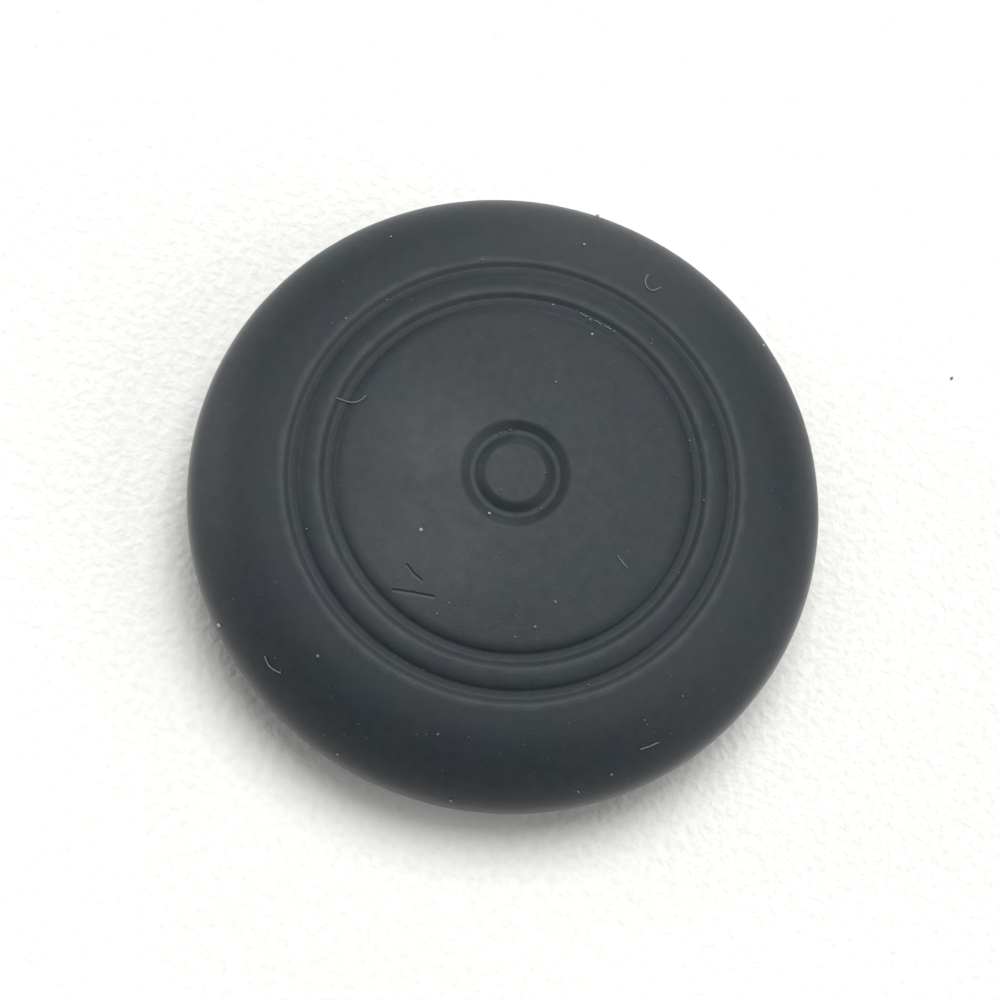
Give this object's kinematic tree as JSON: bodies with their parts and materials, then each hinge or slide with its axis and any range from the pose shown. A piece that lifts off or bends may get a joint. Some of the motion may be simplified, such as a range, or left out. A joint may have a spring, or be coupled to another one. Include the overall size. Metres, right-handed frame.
{
  "type": "controller thumb grip",
  "caption": "Round slip-on rubber cap for a game controller's thumb stick: shallow domed top with stepped rings, rounded shoulder, and a hooked lip round an open hollow.",
  "frame": {"origin": "centre of the ring that the cap rests on, at the bottom of its lip", "axes": "+Z along the cap's axis, from the open underside to the middle of the crown"},
  "size_m": [0.02, 0.02, 0.006],
  "materials": {
    "moulded_rubber": "matt charcoal with a faint worn sheen on the thumb disc"
  },
  "bodies": {
    "root": {"grip_cap": "moulded_rubber"}
  },
  "joints": []
}
